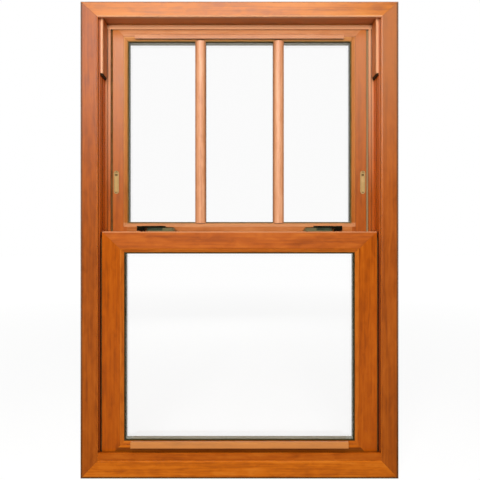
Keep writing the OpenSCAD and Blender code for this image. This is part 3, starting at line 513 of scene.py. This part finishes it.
# %% Marks on the sashes, the head and the sill
# Tones of the marks: the lift's wear together with painted top light, a painted highlight, painted
# top light, painted shade on the outer edges and painted shade on the bars' flanks.
HANDLED_AND_LIT_TONE = "#DC9A5C"
PAINTED_HIGHLIGHT_TONE = "#EFB184"
TOP_LIGHT_TONE = "#C67B40"
OUTER_SHADE_TONE = "#55380F"
BAR_SHADE_TONE = "#94561F"
FADE = 0.0015  # metres over which a mark fades out
OUTER_EDGE = 0.0025
LIFT_HEIGHT = 0.0132
BAR_WIDTH = 0.021
SHADED_FOOT = 0.06  # foot of the upper sash, which the lower one shades: left out of the painted top light

foot, crown = cad_low.z, cad_high.z
lift_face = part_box("lower_stile_left")[0].y
lift_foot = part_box("lower_bottom_rail")[1].z - LIFT_HEIGHT
dam_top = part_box("sill_dam")[1].z
meeting_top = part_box("lower_top_rail")[1].z
head_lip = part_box("track_cover_left")[1].z
upper_foot, upper_crown = [corner.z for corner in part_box("upper_stile_left")]
bead_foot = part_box("upper_beads")[0].z
bead_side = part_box("upper_beads")[1].x
bar_left, bar_right = [corner.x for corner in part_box("glazing_bars_inside")]
near_face = ("Y", face_y + 3 * OUTER_EDGE, face_y + 1.6 * OUTER_EDGE)
# Painted top light: the upper sash is paler above its foot, as light from above falls on it.
lit_above_foot = ("Z", upper_foot + SHADED_FOOT, upper_crown)
painted_top_light = (TOP_LIGHT_TONE, 0.7, lit_above_foot)

PATCHES = {
    # Lower sash's foot: the lift worn pale, with a band of painted shadow under it.
    "lower_bottom_rail": [(HANDLED_AND_LIT_TONE, 0.6, ("Y", lift_face, lift_face - FADE)),
                          (PAINTED_SHADE_TONE, 0.75, ("Z", lift_foot + FADE / 2, lift_foot - FADE / 2)),
                          (LEVEL_TONES[1], 0.75, ("Z", dam_top, dam_top - FADE))],
    # Painted highlight along the top front edge of the lower sash.
    "lower_top_rail": [(PAINTED_HIGHLIGHT_TONE, 0.4, ("Z", meeting_top - 2 * FADE, meeting_top - FADE),
                        ("Y", lift_face + 2 * FADE, lift_face + FADE))],
    # Painted shade on the bars' flanks, which leaves a painted highlight down the middle of each.
    "glazing_bars_inside": [
        (BAR_SHADE_TONE, 0.6, ("X", bar_left + 3 * FADE, bar_left + FADE)),
        (BAR_SHADE_TONE, 0.6, ("X", bar_right - 3 * FADE, bar_right - FADE)),
        (BAR_SHADE_TONE, 0.6, ("X", bar_left + BAR_WIDTH - 3 * FADE, bar_left + BAR_WIDTH - FADE),
         ("X", bar_right - BAR_WIDTH + 3 * FADE, bar_right - BAR_WIDTH + FADE))],
    "upper_stile_left": [painted_top_light],
    "upper_stile_right": [painted_top_light],
    # Upper beads: painted top light above the foot, a darker tone on the upright beads, and a
    # painted highlight on the foot bead.
    "upper_beads": [(HANDLED_AND_LIT_TONE, 0.7, lit_above_foot),
                    (JAMB_TONES[1], 0.4, ("X", bead_side - 6 * FADE, bead_side - 5 * FADE)),
                    (PAINTED_HIGHLIGHT_TONE, 0.33, ("Z", bead_foot + 6 * FADE, bead_foot + 5 * FADE))],
    # Head: painted highlights in the recess and on the step, painted shade on the outer top edge.
    "frame_head": [(PAINTED_HIGHLIGHT_TONE, 0.3, ("Y", face_y + 4 * FADE, face_y + 6 * FADE),
                    ("Y", FADE, -FADE)),
                   (PAINTED_HIGHLIGHT_TONE, 0.85, ("Z", head_lip, head_lip - FADE)),
                   (OUTER_SHADE_TONE, 0.4, ("Z", crown - OUTER_EDGE, crown), near_face)],
    # Painted shade on the sill's lower front edge.
    "frame_sill": [(OUTER_SHADE_TONE, 0.75, ("Z", foot + 2.4 * OUTER_EDGE, foot + 1.7 * OUTER_EDGE),
                    near_face)],
}
print("marks on", ", ".join(PATCHES))

# %% [markdown]
# Each jamb has the lower track in front, with a wall, a narrow shoulder and the lip that frames the
# room side. The wall kept a warm orange, the shoulder gets a dark line of painted shade, and the
# lip's shaded inner side gets painted light. As high as the lower sash reaches, its run gets much
# darker painted shade. Above it, the step behind the track and the track covers get painted
# highlights, the right jamb gets painted top light, and the frame's outer edges get painted shade.
# Both jambs mirror each other, so one function turns a distance from an edge into a range of X on
# either side.

# %% Marks beside the tracks
# Tones beside the tracks: the wall's orange, painted shade in the sash's run, and painted light on
# the lip's shaded side.
WALL_TONE = "#DC6400"
RUN_SHADE_TONE = "#6A2000"
LIP_LIGHT_TONE = "#E0781C"
SASH_GAP = 0.0025
SHOULDER = 0.0022
SHOULDER_STARTS, SHOULDER_FULL = 0.0001, 0.0004
STEP_INSET = 0.0005
RUN_SHADE_FADES = 0.05
TOP_LIGHT_STARTS, TOP_LIGHT_FULL, STEP_FULL = 0.55, 0.8, 0.85  # heights on the jambs

step_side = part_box("track_cover_right")[1].x - STEP_INSET
wall_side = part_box("lower_stile_right")[1].x + SASH_GAP
lip_side = wall_side + SHOULDER
cover_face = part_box("track_cover_left")[0].y


def beside(sign, edge, start, end):
    return ("X", sign * (edge + start), sign * (edge + end))


for side, sign, painted_lit in (("left", -1, 0.0), ("right", 1, 0.5)):
    wall_start = beside(sign, wall_side, -FADE, -FADE / 3)
    wall_end = beside(sign, wall_side, FADE, FADE / 3)
    shoulder_start = beside(sign, wall_side, SHOULDER_STARTS, SHOULDER_FULL)
    shoulder_end = beside(sign, lip_side, 0.0, -FADE / 4)
    lip_start = beside(sign, lip_side, 0.0, FADE / 15)
    lip_end = beside(sign, lip_side, 2 * FADE / 3, FADE / 3)
    outer_edge = beside(sign, cad_high.x, -2.3 * OUTER_EDGE, -1.4 * OUTER_EDGE)
    # Jamb marks, in order: painted top light, painted highlight on the step, the wall's tone,
    # painted shade in the shoulder, painted shade in the run, painted light on the lip, painted
    # shade on the outer edge.
    PATCHES["frame_jamb_" + side] = [
        (TOP_LIGHT_TONE, painted_lit, ("Z", TOP_LIGHT_STARTS, TOP_LIGHT_FULL)),
        (PAINTED_HIGHLIGHT_TONE, 0.55, beside(sign, step_side, 0.0, -FADE), ("Z", TOP_LIGHT_STARTS, STEP_FULL)),
        (WALL_TONE, 0.8, wall_start, wall_end),
        (PAINTED_SHADE_TONE, 0.35, shoulder_start, shoulder_end),
        (RUN_SHADE_TONE, 0.75, wall_start, shoulder_end, ("Z", meeting_top, meeting_top - RUN_SHADE_FADES)),
        (LIP_LIGHT_TONE, 0.65, lip_start, lip_end),
        (OUTER_SHADE_TONE, 0.7, outer_edge, near_face)]
    # Painted highlight along the front edge of each track cover.
    PATCHES["track_cover_" + side] = [
        (PAINTED_HIGHLIGHT_TONE, 0.7, ("Y", cover_face + 2 * FADE, cover_face + FADE))]
print("track walls at", round(wall_side, 4), "m to either side")

# %% [markdown]
# A piece from the CAD model comes with a plain material, so it is dressed by clearing that and
# adding its own. The boards are numbered, and the number is the seed of their grain. The boards of
# the upper half are listed for the white card, which lights nothing but their lacquer.

# %% Cut every board from its own piece of cherry
LOW_BOARDS = ("frame_sill", "sill_dam", "lower_bottom_rail",
              "lower_stile_left", "lower_stile_right", "lower_beads")


def dress(node_name, material):
    materials = nodes[node_name].data.materials
    materials.clear()
    materials.append(material)


mirroring = bpy.data.collections.new("boards that mirror the card")
card.light_linking.receiver_collection = mirroring
for seed, (board_name, (grain, tones)) in enumerate(BOARDS.items(), start=1):
    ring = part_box(board_name) if board_name.endswith("beads") else None
    finish_name = "cherry " + board_name.replace("_", " ")
    dress(board_name, cherry(finish_name, grain, tones, seed, ring, PATCHES.get(board_name, ())))
    if board_name not in LOW_BOARDS:
        mirroring.objects.link(nodes[board_name])

# %% [markdown]
# ## Glass
#
# The panes are float glass, so thin that the green of their edges doesn't tint what is seen through
# them. A real pane lets nearly all light through, but a path tracer finds that light slowly by
# refraction, so for shadow rays alone the glass is swapped for a clear Transparent shader and the
# light falls straight through. A whisper of bump keeps reflections from being perfectly flat, as
# the two sheets of a sealed unit never quite are.

# %% Panes
WAVER_MM = 180
WAVER_DEPTH = 0.00004
PANES = ("lower_inner_pane", "lower_outer_pane", "upper_inner_pane", "upper_outer_pane")

# Float glass, fire polished: quite clear, with nothing but a faint, wavering mirror image.
glass, tree = blank_material("float glass")
place = put(tree, "ShaderNodeTexCoord").outputs["Object"]
waver = put(tree, "ShaderNodeTexNoise", {"Vector": place},
            {"Scale": MM_IN_METRE / WAVER_MM, "Detail": 1.0})
ripple = put(tree, "ShaderNodeBump", {"Height": waver.outputs["Fac"]},
             {"Strength": 0.3, "Distance": WAVER_DEPTH})
pane = put(tree, "ShaderNodeBsdfPrincipled", {"Normal": ripple.outputs[0]},
           {"Base Color": linear("#FFFFFF"), "Roughness": 0.0, "IOR": 1.5,
            "Specular IOR Level": 0.03, "Transmission Weight": 1.0})
clear = put(tree, "ShaderNodeBsdfTransparent", inputs={"Color": linear("#FFFFFF")})
ray = put(tree, "ShaderNodeLightPath")
swap = put(tree, "ShaderNodeMixShader",
           {0: ray.outputs["Is Shadow Ray"], 1: pane.outputs[0], 2: clear.outputs[0]})
put(tree, "ShaderNodeOutputMaterial", {"Surface": swap.outputs[0]})
for pane_name in PANES:
    dress(pane_name, glass)
print(len(PANES), "panes of glass")


# %% [markdown]
# ## Metal, plastic, rubber and pile
#
# The small parts need fewer layers than wood. Each still has a colour that varies a little, a
# roughness that follows it, and a fine relief at the size of its own surface: the drawn lines of a
# spacer bar, the cast skin of a lock, the texture of moulded plastic, the nap of a pile strip. One
# function covers them all, because they differ only in those sizes and values. Edges are shown
# lighter, partly where hands and neighbours rub them and partly as a painted highlight, and grooves
# get painted shade.

# %% The small parts' finish
# Painted shade in the small parts' grooves: how deep, and the default dark tone.
SMALL_GROOVE_SHADE_DEPTH = 0.004
SMALL_GROOVE_SHADE_TONE = "#1C140A"
CLOUD_SIZE = 14  # a cloud is this many mottles wide
CLOUD_SHARE = 0.5
DEEP_AT, LIGHT_AT = 0.32, 0.68
# How far the small parts' edges are paled: partly rubbed wear, partly a painted highlight.
SMALL_EDGE_WEAR_AND_HIGHLIGHT = {"flat_until": 0.98, "full_at": 0.78, "strength": 0.6}


def worked_surface(name, tones, mottle_mm, stretch, roughness, relief_depth, edge_tone, edge_round,
                   patches=(), groove_shade_tone=SMALL_GROOVE_SHADE_TONE, **sockets):
    # Real cast, moulded and drawn skins are finer. The mottles are this coarse so that they show
    # at this distance.
    material, tree = blank_material(name)
    place = put(tree, "ShaderNodeTexCoord").outputs["Object"]
    spread = put(tree, "ShaderNodeMapping", {"Vector": place},
                 {"Scale": [MM_IN_METRE / mottle_mm / s for s in stretch]})
    mottle = put(tree, "ShaderNodeTexNoise", {"Vector": spread.outputs[0]},
                 {"Scale": 1.0, "Detail": 4.0})
    cloud = put(tree, "ShaderNodeTexNoise", {"Vector": place},
                {"Scale": MM_IN_METRE / (mottle_mm * CLOUD_SIZE), "Detail": 2.0})
    tone = put(tree, "ShaderNodeMix", {2: mottle.outputs["Fac"], 3: cloud.outputs["Fac"]},
               {0: CLOUD_SHARE})
    ramp = put(tree, "ShaderNodeValToRGB", {"Fac": tone.outputs[0]})
    ramp.color_ramp.elements[0].position = DEEP_AT
    ramp.color_ramp.elements[0].color = linear(tones[0])
    ramp.color_ramp.elements[1].position = LIGHT_AT
    ramp.color_ramp.elements[1].color = linear(tones[1])
    rounded, rubbed_and_highlit = rubbed_and_highlit_edges(tree, ramp.outputs[0], edge_tone, edge_round, **SMALL_EDGE_WEAR_AND_HIGHLIGHT)
    finished = shaded_grooves(tree, patched(tree, place, rubbed_and_highlit, patches), SMALL_GROOVE_SHADE_DEPTH, groove_shade_tone)
    shine = put(tree, "ShaderNodeMapRange", {"Value": tone.outputs[0]},
                {"From Min": NOISE_LOW, "From Max": NOISE_HIGH,
                 "To Min": roughness[0], "To Max": roughness[1]})
    relief = put(tree, "ShaderNodeBump", {"Height": mottle.outputs["Fac"], "Normal": rounded},
                 {"Strength": 0.4, "Distance": relief_depth})
    shader = put(tree, "ShaderNodeBsdfPrincipled",
                 {"Base Color": finished, "Roughness": shine.outputs[0],
                  "Normal": relief.outputs[0]}, sockets)
    put(tree, "ShaderNodeOutputMaterial", {"Surface": shader.outputs[0]})
    return material


def dress_all(finishes):
    for material, names in finishes.items():
        for node_name in names:
            dress(node_name, material)
    return sum(len(names) for names in finishes.values())


print("grime gathers within", round(SMALL_GROOVE_SHADE_DEPTH * MM_IN_METRE), "mm")

# %% [markdown]
# The levers and keepers of the locks are cast bronze that was darkened with oil. The cams, the
# screws, and the tubes, twisted rods and pivot bars of the balances are zinc plated steel. Little
# of the steel is ever seen, so a plain finish will do for it.

# %% Levers and steel
# Cast bronze, rubbed with oil: almost black, faintly pebbled, softly glossy, with greenish edges,
# partly wear and partly a painted highlight.
dark_bronze = worked_surface(
    "oil rubbed bronze casting", tones=("#1B170C", "#34301F"), mottle_mm=1.4, stretch=(1, 1, 1),
    roughness=(0.22, 0.4), relief_depth=0.00006, edge_tone="#5E6650", edge_round=0.0009,
    Metallic=0.7)
# Drawn steel, zinc plated: a cool pale grey, its cloudy gloss drawn out along the upright rods.
zinc_steel = worked_surface(
    "zinc plated steel", tones=("#9A9C9E", "#C4C6C6"), mottle_mm=2.5, stretch=(1, 1, 3),
    roughness=(0.25, 0.42), relief_depth=0.00002, edge_tone="#D8DADA", edge_round=0.0005,
    Metallic=1.0)
METAL = {
    dark_bronze: ("lock_lever_left", "lock_lever_right", "keepers"),
    zinc_steel: ("lock_cam_left", "lock_cam_right", "lock_screws", "balance_screws",
                 "lower_balance_tube_left", "lower_balance_tube_right",
                 "upper_balance_tube_left", "upper_balance_tube_right",
                 "lower_spiral_rods", "upper_spiral_rods", "lower_pivot_bars", "upper_pivot_bars"),
}
print("metal on", dress_all(METAL), "pieces")

# %% [markdown]
# The spacer between the two panes of a unit is a folded bar. Its colours are painted reflections:
# its uprights are dark, as they face the dark wood opposite, and its level runs, which catch the
# light between the panes, get painted pale light. One ring makes all four runs, so the pale runs
# are patches at its top and foot.

# %% Spacer bars
SPACER_SIGHT = 0.0027
LIT_RUN_TONE = "#B6AF9A"

for sash in ("lower", "upper"):
    bar_low, bar_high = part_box(sash + "_spacer")
    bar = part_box(sash + "_stile_left")[1].x + SPACER_SIGHT - bar_low.x
    # Painted light: the level runs are paler where they catch the light.
    level_runs = [(LIT_RUN_TONE, 0.6, ("Z", bar_low.z + bar + 2 * FADE, bar_low.z + bar + FADE)),
                  (LIT_RUN_TONE, 0.6, ("Z", bar_high.z - bar - 2 * FADE, bar_high.z - bar - FADE))]
    # Anodised aluminium, roll formed: dull bronze grey, a painted reflection of the dark wood,
    # little gloss, fine lines along the bar.
    dress(sash + "_spacer", worked_surface(
        "anodised spacer bar " + sash, tones=("#3A3618", "#54502E"), mottle_mm=0.9,
        stretch=(18, 1, 18), roughness=(0.4, 0.55), relief_depth=0.00003, edge_tone="#6E6A4A",
        edge_round=0.0006, patches=level_runs, groove_shade_tone="#3A3618", Metallic=0.3))
    print(sash, "spacer,", round(bar * MM_IN_METRE, 1), "mm bar")

# %% [markdown]
# The lock cases are of the same bronze, but their plating has worn through to brass on the foot and
# on the end that the lever leaves free, which is the end towards the middle of the window. Both are
# patches again, set off from each case's own box.

# %% Worn lock cases
BRASS_TONE = "#9A8C62"
FOOT_WORN = 0.003
END_WORN = 0.024

for side, outward in (("left", -1), ("right", 1)):
    case_low, case_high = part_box("lock_case_" + side)
    inner_end = case_high.x if side == "left" else case_low.x
    worn_to = inner_end + outward * END_WORN
    worn = [(BRASS_TONE, 0.85, ("X", worn_to, worn_to - outward * FADE)),
            (BRASS_TONE, 0.7, ("Z", case_low.z + FOOT_WORN, case_low.z + FOOT_WORN - FADE))]
    # Cast bronze, worn: greenish grey with pale edges, partly wear and partly a painted highlight,
    # and dull yellow where the brass shows.
    dress("lock_case_" + side, worked_surface(
        "worn bronze casting " + side, tones=("#384030", "#5C6850"), mottle_mm=1.4,
        stretch=(1, 1, 1), roughness=(0.26, 0.42), relief_depth=0.00006, edge_tone="#8A9274",
        edge_round=0.0009, patches=worn, Metallic=0.5))
print("lock cases", "worn to", round(END_WORN * MM_IN_METRE), "mm from the end")

# %% [markdown]
# The vent latches and their housings are moulded in a tan that goes with the wood, and each latch
# has a small round hollow near its top, which looks dark. The shoes and tilt latches, which run in
# the jambs, are grey nylon. The hollow is there in the CAD model, but too narrow to be dark in such
# soft light, so a patch of four ranges helps it.

# %% Plastic
DOT_TONE = "#3C2A0E"
DOT_DROP = 0.006
DOT_HALF = 0.0021
DOT_SOFT = 0.0004
latch_low, latch_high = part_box("vent_latch_right")
dot_x, dot_z = (latch_low.x + latch_high.x) / 2, latch_high.z - DOT_DROP


def within(axis, middle):
    return ((axis, middle - DOT_HALF - DOT_SOFT, middle - DOT_HALF),
            (axis, middle + DOT_HALF + DOT_SOFT, middle + DOT_HALF))


dots = [(DOT_TONE, 0.85, *within("X", x), *within("Z", dot_z)) for x in (-dot_x, dot_x)]
# Acetal, moulded: an even, waxy tan with a faint grain and soft highlights.
tan_plastic = worked_surface(
    "tan moulded acetal", tones=("#B69258", "#CCAA74"), mottle_mm=0.8, stretch=(1, 1, 1),
    roughness=(0.42, 0.56), relief_depth=0.00004, edge_tone="#DDBE88", edge_round=0.0007,
    patches=dots, groove_shade_tone="#A88450")
# Nylon, moulded: a flat mid grey, duller than acetal.
grey_nylon = worked_surface(
    "grey moulded nylon", tones=("#83847F", "#A0A19B"), mottle_mm=0.8, stretch=(1, 1, 1),
    roughness=(0.45, 0.6), relief_depth=0.00004, edge_tone="#B9BAB4", edge_round=0.0007)
PLASTIC = {
    tan_plastic: ("vent_housing_left", "vent_housing_right", "vent_latch_left", "vent_latch_right"),
    grey_nylon: ("lower_shoes", "upper_shoes", "lower_tilt_latch_left", "lower_tilt_latch_right",
                 "upper_tilt_latch_left", "upper_tilt_latch_right"),
}
print("plastic on", dress_all(PLASTIC), "pieces")

# %% [markdown]
# Stop pads, setting blocks and the sill seal are rubber, and wool pile seals the sides of the
# sashes. The upper strips lie open in the tracks above the lower sash, and the right one gets
# painted light, a pale straw tone. Pile could be made of hairs, but at this distance a mottled nap
# without any gloss shows the same.

# %% Rubber and pile
PAINTED_LIT_PILE_TONE = "#A8926C"
# Rubber, extruded: nearly black and matt, with faint lines along the strip.
dark_rubber = worked_surface(
    "dark extruded rubber", tones=("#1E160C", "#33271A"), mottle_mm=1.0, stretch=(20, 1, 1),
    roughness=(0.6, 0.75), relief_depth=0.00005, edge_tone="#4A3A28", edge_round=0.0005)
gasket_rubber = {
    # Gasket rubber, extruded, in the lower sash: brown and matt, a fine dark line round the pane.
    "lower": worked_surface(
        "brown extruded gasket", tones=("#3C2E14", "#574624"), mottle_mm=1.0, stretch=(20, 1, 20),
        roughness=(0.6, 0.75), relief_depth=0.00004, edge_tone="#6A5830", edge_round=0.0004,
        groove_shade_tone="#2E2210"),
    # The same rubber in the upper sash, in a paler copy: painted light for the brighter upper half,
    # hardly darker than the bead beside it.
    "upper": worked_surface(
        "sunned extruded gasket", tones=("#75592C", "#957743"), mottle_mm=1.0, stretch=(20, 1, 20),
        roughness=(0.6, 0.75), relief_depth=0.00004, edge_tone="#A48A58", edge_round=0.0004,
        groove_shade_tone="#5E4A26"),
}
# Wool pile, woven and cut: a brown nap of light and dark tufts that never shines.
PILE = {"tones": ("#553418", "#8A663C"), "mottle_mm": 0.7, "stretch": (1, 4, 1),
        "roughness": (0.85, 0.95), "relief_depth": 0.0004, "edge_tone": "#8C6844",
        "edge_round": 0.0006}
wool_pile = worked_surface("brown wool pile", **PILE)
# The same pile, painted pale straw on the right, as painted light.
painted_lit_pile = worked_surface("sunned wool pile", **PILE,
                             patches=[(PAINTED_LIT_PILE_TONE, 0.8, ("X", 0.0, 0.001))])
SEALS = {
    dark_rubber: ("stop_pads", "lower_setting_blocks", "upper_setting_blocks", "sill_seal"),
    wool_pile: ("lower_side_piles", "meeting_seal"),
    painted_lit_pile: ("upper_side_piles",),
}
print("rubber and pile on", dress_all(SEALS), "pieces")

# %% [markdown]
# ## Glazing gaskets
#
# A thin gasket runs round each pane, where the wood meets the glass, on the room side and outside.
# It shows as a fine line at the foot of the lower pane. It could be painted on the wood, but then
# it would vanish from the mesh, so it is a real strip: a flat sheet as big as the daylight opening,
# inset by the gasket's width, with the middle taken out, pulled to its thickness, and its outer lip
# rounded over.

# %% Make the gaskets
GASKET_WIDTH = 0.0018
GASKET_THICK = 0.0011
GASKET_ROUND = 0.0005
SHARP_ANGLE = math.radians(45)


def gasket(name, sash, glass_y, outward):
    beads_low, beads_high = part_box(sash + "_beads")
    opening_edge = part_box(sash + "_stile_left")[1].x
    bead_face = opening_edge - beads_low.x
    width = -2 * opening_edge
    height = beads_high.z - beads_low.z - 2 * bead_face
    middle_z = (beads_low.z + beads_high.z) / 2
    shape = bmesh.new()
    bmesh.ops.create_grid(shape, x_segments=1, y_segments=1, size=0.5)
    bmesh.ops.scale(shape, vec=(width, height, 1), verts=shape.verts)
    middle = shape.faces[:]
    bmesh.ops.inset_region(shape, faces=middle, thickness=GASKET_WIDTH,
                           use_boundary=True, use_even_offset=True)
    bmesh.ops.delete(shape, geom=middle, context="FACES")
    strip = bmesh.ops.extrude_face_region(shape, geom=shape.faces[:])
    raised = [v for v in strip["geom"] if isinstance(v, bmesh.types.BMVert)]
    bmesh.ops.translate(shape, verts=raised, vec=(0, 0, GASKET_THICK))
    lip = [e for e in shape.edges if all(v in raised for v in e.verts) and len(e.link_faces) == 2
           and e.calc_face_angle() > SHARP_ANGLE]
    bmesh.ops.bevel(shape, geom=lip, offset=GASKET_ROUND, affect="EDGES", segments=2, profile=0.5,
                    material=-1)
    turn = math.radians(90 if outward < 0 else -90)
    bmesh.ops.rotate(shape, verts=shape.verts, cent=(0, 0, 0), matrix=Matrix.Rotation(turn, 3, "X"))
    bmesh.ops.translate(shape, verts=shape.verts, vec=(0, glass_y, middle_z))
    bmesh.ops.recalc_face_normals(shape, faces=shape.faces)
    mesh = bpy.data.meshes.new(name)
    shape.to_mesh(mesh)
    shape.free()
    mesh.materials.append(gasket_rubber[sash])
    piece = bpy.data.objects.new(name, mesh)
    bpy.context.collection.objects.link(piece)
    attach(piece, sash + "_sash")
    return piece


for sash in ("lower", "upper"):
    inside_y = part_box(sash + "_inner_pane")[0].y
    outside_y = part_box(sash + "_outer_pane")[1].y
    inner = gasket(sash + "_inside_gasket", sash, inside_y, -1)
    outer = gasket(sash + "_outside_gasket", sash, outside_y, 1)
    print(inner.name, outer.name, len(inner.data.polygons), "faces each")
